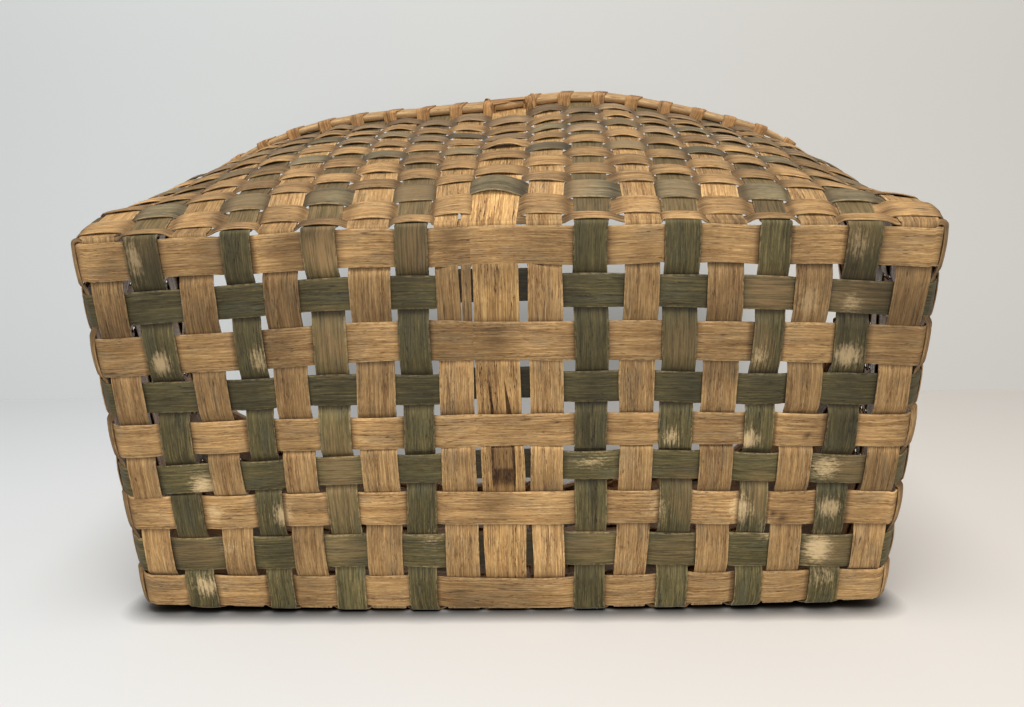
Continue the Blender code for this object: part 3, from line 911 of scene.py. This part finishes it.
def weaver(index):
    """A strip once round the wall and over its own start, arched past every upright."""
    height = second_weaver_height + (index - 1) * weaver_pitch if index else first_weaver_height
    start = lap_places[index // 2 % len(lap_places)]
    start += passes_outside(index, start)
    places = np.arange(start, start + upright_count + lap_stakes + 1)
    turn = 2 * math.pi * (places % upright_count) / upright_count
    heights = height + wander(index + 120, turn / (2 * math.pi), 0.3, weaver_sway)
    width = (weaver_width if index else first_weaver_width) * weaver_swell
    low, low_out, cells, shares, _ = round_wall(places, heights - width / 2)
    high, high_out, _, _, stake_edge = round_wall(places, heights + width / 2)

    outside = np.array([passes_outside(index, place) for place in places])
    sides = np.where(outside, 1.0, -1.0)
    need = clear_of_stakes(weaver_thickness)
    lift = weaver_thickness + clearance
    under = places <= start + lap_stakes
    over = places >= start + upright_count
    draw = np.random.default_rng(index + 300)
    _, _, _, stake_widths = wall(places, heights)
    bow = weaver_bow_share * stake_widths * draw.uniform(*weaver_bows, len(places))
    bow = bow * (weaver_bow_low + weaver_bow_rise * height / wall_height)
    bow = bow * np.where(places % upright_count == centre_index, wide_stake_bow, 1.0)
    flat = sides * need + lift * np.where(outside, over, -1.0 * under)
    offset = flat[cells] + sides[cells] * bow[cells] * np.maximum(0, 1 - (shares / stake_edge[cells]) ** 2)
    crossing = np.abs(shares) > stake_edge[cells]
    other = np.clip(cells + np.where(shares > 0, 1, -1), 0, len(places) - 1)
    run = (np.abs(shares) - stake_edge[cells]) / (1 - stake_edge[cells]) / 2
    eased = 3 * run ** 2 - 2 * run ** 3
    offset = np.where(crossing, flat[cells] * (1 - eased) + flat[other] * eased, offset)

    way = np.arange(len(cells)) / len(cells)
    tilt = wander(index + 500, way, 0.05, weaver_tilt)
    low = low + low_out * (offset + tilt)[:, None]
    high = high + high_out * (offset - tilt)[:, None]
    centres, halves = (low + high) / 2, (high - low) / 2
    halves = halves * (1 + wander(index + 700, way, 0.04, weaver_unevenness))[:, None]
    # Painted shade where the weaver bends in or out between two stakes
    near_space = 1.2 * (np.abs(shares) - weaver_shade_from) / (1 - weaver_shade_from)
    soil_and_shade = np.clip(near_space, 0, 1) * weaver_shade
    tone = weaver_tones[index] + wander(index + 900, way, 0.05, weaver_tone_wander)
    marks = {"soil_and_shade": soil_and_shade, "tone": tone}
    if weaver_slots[index] == "grey_green_oak":
        marks["fade"] = np.clip(weaver_fade + wander(index + 1100, way, 0.05, 0.3), 0, 0.6)
    splint(f"weaver_{index + 1:02d}", weaver_slots[index], centres, halves, weaver_thickness, marks,
           crown=weaver_crown)


def hoop_ring(height, stand):
    """The level line of a hoop round the uprights' tops, eased into one even curve."""
    places = np.arange(upright_count + 1)
    points, outwards, _, _, _ = round_wall(places, np.full(len(places), height))
    points, outwards = points[:-stake_samples], outwards[:-stake_samples]
    points = smoothed(points, hoop_easing, True)
    outwards = unit(smoothed(outwards, hoop_easing, True))
    return points + outwards * stand, outwards


def rim_hoop(name, outer):
    """A shaved oak hoop, rounded on its show side."""
    thickness = hoop_thickness * (hoop_swell if outer else 1.0)
    need = clear_of_stakes(thickness)
    stand = need + hoop_stand if outer else -need - inner_hoop_stand
    low, _ = hoop_ring(wall_height - hoop_width, stand)
    high, _ = hoop_ring(wall_height, stand)
    splint(name, "hoop_oak", (low + high) / 2, (high - low) / 2, thickness, columns=hoop_shares, closed=True,
           edge_share=0.5)


def rounded_path(points, directions, radius, steps):
    """A path with its corners rounded, and the direction across it at each of its points."""
    path, sides = [], []
    for number in range(1, len(points) - 1):
        here = points[number]
        before = points[number - 1] - here
        after = points[number + 1] - here
        cut = min(radius, np.linalg.norm(before) / 2.2, np.linalg.norm(after) / 2.2)
        enter = here + unit(before) * cut
        leave = here + unit(after) * cut
        for t in np.linspace(0, 1, steps):
            path.append((1 - t) ** 2 * enter + 2 * t * (1 - t) * here + t ** 2 * leave)
            sides.append(directions[number])
    return np.array(path), np.array(sides)


def rim_lashing():
    """One splint wound round both hoops, down through every space between two uprights."""
    thickness = lashing_thickness * wrap_thickness_swell
    hoop = hoop_thickness * hoop_swell
    inner = clear_of_stakes(hoop_thickness) + (hoop_thickness + lashing_thickness) / 2 + clearance / 2
    outer = clear_of_stakes(hoop) + hoop_stand + (hoop + thickness) / 2 + wrap_clearance
    over_it = outer + crossing_stand
    low = hoop_ring(lashing_under, 0.0)
    high = hoop_ring(wall_height + clearance + lashing_thickness / 2, 0.0)
    per_upright = stake_samples + space_samples
    corners, directions = [], []
    for wrap in range(upright_count):
        middle = wrap * per_upright + stake_samples + (space_samples - 1) / 2
        draw = np.random.default_rng(wrap + 900)
        lean = middle + lashing_lean_share * draw.uniform(*wrap_leans) * per_upright
        ahead = middle + per_upright
        turns = [(low, middle, -inner), (low, middle, outer)]
        if wrap == centre_index - 1:
            # Crossed over the wide centre stake
            turns += [(high, ahead, outer - crossing_rounding), (high, ahead, -inner),
                      (low, ahead, -inner), (low, ahead, over_it),
                      (high, middle, over_it - crossing_rounding), (high, middle, -inner)]
        else:
            turns += [(high, lean, outer - wrap_rounding), (high, lean, -inner)]
        for (ring, outs), place, stand in turns:
            first = int(place) % len(ring)
            second = (first + 1) % len(ring)
            share = place - int(place)
            out = unit(outs[first] * (1 - share) + outs[second] * share)
            corners.append(ring[first] * (1 - share) + ring[second] * share + out * stand)
            directions.append(unit(np.array([-out[1], out[0], 0.0])))
    corners = [corners[-1]] + corners + [corners[0]]
    directions = [directions[-1]] + directions + [directions[0]]
    path, sides = rounded_path(corners, directions, wrap_corner, 5)
    tangents = unit(np.gradient(path, axis=0) + 1e-9)
    sides = unit(sides - tangents * (sides * tangents).sum(axis=1)[:, None])
    # Darker over the hoops' top edge
    soil_and_shade = past(path[:, 2], wall_height - 4 * MM, 5 * MM) * lashing_top_darkening
    # Less so where it is crossed
    soil_and_shade *= np.clip((np.abs(path[:, 0]) - 12 * MM) / (6 * MM), 0.3, 1)
    halves = -sides * lashing_width * wrap_swell / 2
    splint("rim_lashing", "lashing_oak", path, halves, thickness, {"soil_and_shade": soil_and_shade}, crown=wrap_crown)


for number in range(cross_count):
    cross_stake(number)
for number in range(long_count):
    long_stake(number)
for number in range(weaver_count):
    weaver(number)
rim_hoop("outer_rim_hoop", True)
rim_hoop("inner_rim_hoop", False)
rim_lashing()

# The camera, solved from the base's outline in the photograph
camera_place = Vector((6.6 * MM, -188.1 * MM, -388.9 * MM))
camera_forward = Vector((-0.0120, 0.3553, 0.9347))
camera_up = Vector((0.0102, -0.9347, 0.3555))
focal_pixels = 900.0
photo_width = 1024
sensor_width = 36.0


def photo_camera():
    data = bpy.data.cameras.new("photo_camera")
    data.sensor_width = sensor_width
    data.lens = sensor_width * focal_pixels / photo_width
    data.clip_start = 10 * MM
    data.clip_end = 20.0
    made = bpy.data.objects.new("photo_camera", data)
    right = camera_forward.cross(camera_up).normalized()
    turn = Matrix((right, camera_up, -camera_forward)).transposed()
    made.matrix_world = Matrix.Translation(camera_place) @ turn.to_4x4()
    bpy.context.scene.collection.objects.link(made)
    bpy.context.scene.camera = made


photo_camera()

# The floor that the basket lies on in the photograph, and the backdrop behind it
floor_up = Vector((0.0, -0.9787, 0.2055))
floor_back = Vector((0.0, 0.2055, 0.9787))
floor_touch = Vector((0.0, half_width + 2.0 * MM, 0.0))
backdrop_place = 560 * MM
stage_half_width = 3.0
stage_half_reach = 1.5
contact_shadow_reach = 15 * MM         # how near to the basket the floor takes a painted contact shadow
contact_shadow_power = 2.4


def stage_material(name, left, right):
    """Seen only from its front and only by the camera and in reflections, so it shades nothing."""
    paper = Shading(name)
    paper.tree.nodes.clear()
    path = paper.node("ShaderNodeLightPath").outputs
    about = paper.node("ShaderNodeNewGeometry").outputs
    seen = paper.most(path["Is Camera Ray"], path["Is Glossy Ray"])
    shown = paper.times(seen, paper.minus(1.0, about["Backfacing"]))
    x, y, z = paper.node("ShaderNodeSeparateXYZ", {"Vector": about["Position"]}).outputs
    # A painted contact shadow on the floor from ambient occlusion, near the basket and not far past its
    # mouth
    near = paper.node("ShaderNodeAmbientOcclusion", {"Distance": contact_shadow_reach}, samples=16).outputs["AO"]
    contact_shadow = paper.most(paper.math("POWER", near, contact_shadow_power), paper.ranged(z, 0.30, 0.40))
    # A painted shadow where it is seen through the mouth, and darker high up on the backdrop
    shadow_through_mouth = paper.times(paper.ranged(paper.absolute(x), 0.20, 0.32, 1.0, 0.0), paper.ranged(y, 0.05, 0.15))
    shadow_through_mouth = paper.times(shadow_through_mouth, paper.ranged(z, 0.22, 0.32, 0.0, 0.4))
    shade = paper.most(shadow_through_mouth, paper.ranged(y, -0.2, 0.14, 0.1, 0.0))
    colour = paper.blend(paper.ranged(x, -0.45, 0.45), left, right)
    colour = paper.lightened(colour, paper.times(contact_shadow, paper.minus(1.0, shade)))
    solid = paper.node("ShaderNodeBsdfDiffuse", {"Color": colour}).outputs[0]
    clear = paper.node("ShaderNodeBsdfTransparent").outputs[0]
    mixed = paper.node("ShaderNodeMixShader", {0: shown, 1: clear, 2: solid}).outputs[0]
    paper.node("ShaderNodeOutputMaterial", {"Surface": mixed})
    return paper.material


def sheet_of_stage(name, middle, rise, left, right):
    """A flat piece of stage from its middle and half its height, with a colour for its left and right."""
    side = Vector((stage_half_width, 0.0, 0.0))
    mesh = bpy.data.meshes.new(name)
    points = [middle - side - rise, middle + side - rise, middle + side + rise, middle - side + rise]
    mesh.from_pydata([tuple(point) for point in points], [], [(0, 1, 2, 3)])
    mesh.materials.append(stage_material(name, left, right))
    made = bpy.data.objects.new(name, mesh)
    bpy.context.scene.collection.objects.link(made)


fold = floor_touch + floor_back * backdrop_place
floor_half = floor_back * stage_half_reach
backdrop_half = floor_up * stage_half_reach
sheet_of_stage("photo_floor", fold - floor_half, floor_half, srgb(229, 230, 229), srgb(229, 221, 211))
sheet_of_stage("photo_backdrop", fold + backdrop_half, backdrop_half, srgb(220, 222, 220),
               srgb(219, 215, 208))


def soft_light(name, towards, distance, size, power):
    """A large square lamp that looks at the basket's middle."""
    data = bpy.data.lights.new(name, "AREA")
    data.size = size
    data.energy = power
    made = bpy.data.objects.new(name, data)
    middle = Vector((0.0, 0.0, wall_height / 2))
    place = middle + Vector(towards).normalized() * distance
    made.location = place
    made.rotation_euler = (place - middle).to_track_quat("Z", "Y").to_euler()
    made.visible_camera = False
    bpy.context.scene.collection.objects.link(made)


soft_light("key_light", (-0.02, -1.0, -0.25), 1.4, 0.8, 16.0)
soft_light("front_light", (0.05, -0.4, -1.0), 1.6, 0.9, 13.0)
soft_light("back_light", (0.1, 1.0, 0.45), 1.6, 0.9, 12.0)
soft_light("mouth_light", (0.1, 0.35, 1.0), 1.6, 0.9, 12.0)

world = bpy.data.worlds.new("studio")
world.use_nodes = True
sky = world.node_tree.nodes["Background"].inputs
sky["Color"].default_value = srgb(238, 240, 242)
sky["Strength"].default_value = 0.42
bpy.context.scene.world = world
bpy.context.scene.view_settings.view_transform = "Standard"
